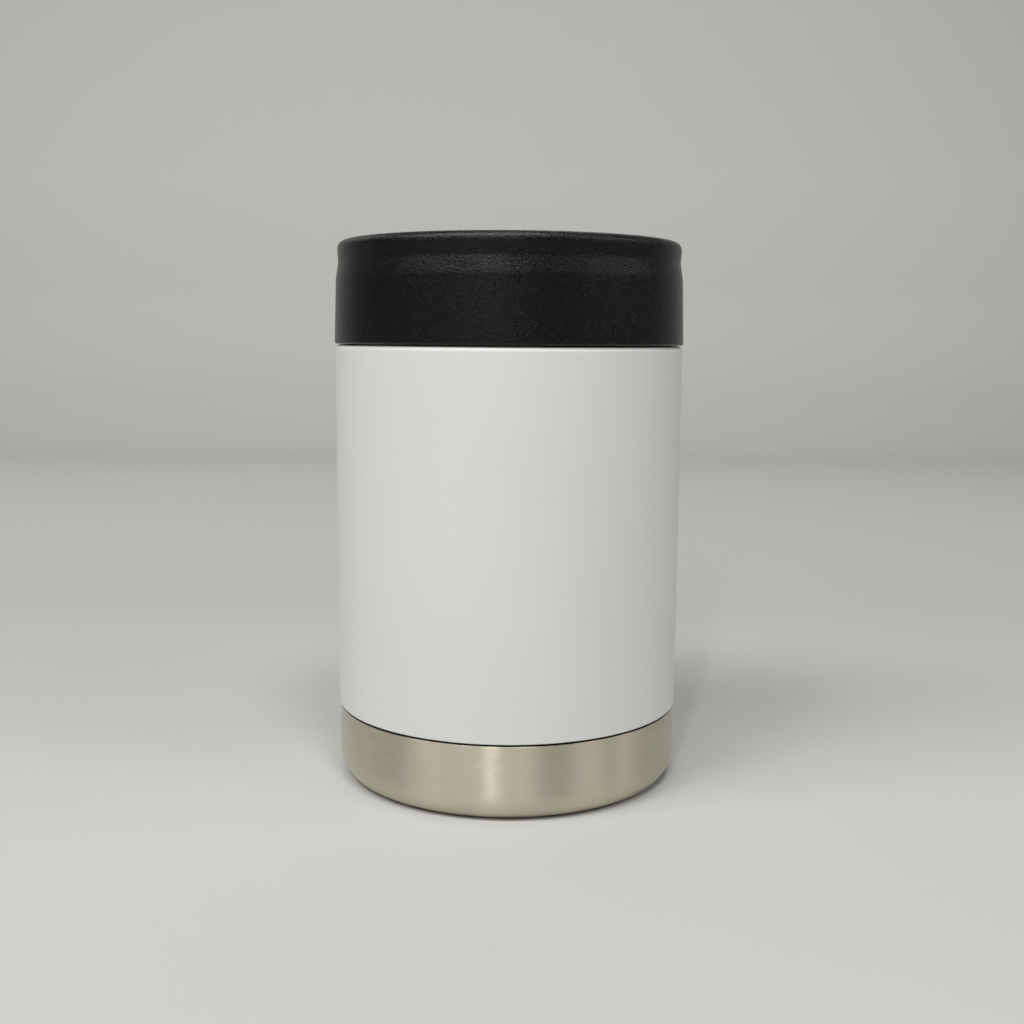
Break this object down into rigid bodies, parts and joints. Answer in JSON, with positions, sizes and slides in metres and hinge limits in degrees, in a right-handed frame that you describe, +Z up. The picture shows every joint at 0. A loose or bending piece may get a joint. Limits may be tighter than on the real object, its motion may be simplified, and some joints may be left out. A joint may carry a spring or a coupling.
{
  "type": "can cooler",
  "caption": "Insulated steel can cooler with a coated outside, a bare brushed base and a black screw-on collar that grips the can.",
  "frame": {"origin": "on the axis, at the surface that the cooler stands on", "axes": "+Z up along the axis, from the base to the collar; the body is round, so X and Y are free"},
  "size_m": [0.0804, 0.0804, 0.124],
  "materials": {
    "powder_coat": "satin",
    "brushed_steel": "satin",
    "drawn_steel": "satin",
    "solder_glass": "gloss",
    "sintered_alloy": "matte",
    "silicone": "matte",
    "black_plastic": "matte"
  },
  "bodies": {
    "vessel": {"outer_shell": "powder_coat", "base_cup": "brushed_steel", "inner_liner": "drawn_steel", "base_plate": "brushed_steel", "port_seal": "solder_glass", "getter": "sintered_alloy"},
    "ring_lift": {"grip_ring": "silicone"},
    "screw_collar": {"collar": "black_plastic"}
  },
  "joints": [
    {"name": "collar_lift", "type": "slide", "parent": "vessel", "child": "ring_lift", "axis": [0, 0, 1], "range_m": [0, 0.004]},
    {"name": "collar_turn", "type": "hinge", "parent": "ring_lift", "child": "screw_collar", "pos_m": [0, 0, 0.11], "axis": [0, 0, 1], "range_deg": [0, 360]}
  ],
  "couplings": [
    {"joint": "collar_lift", "follows": "collar_turn", "m_per_rad": 0.00063662}
  ]
}
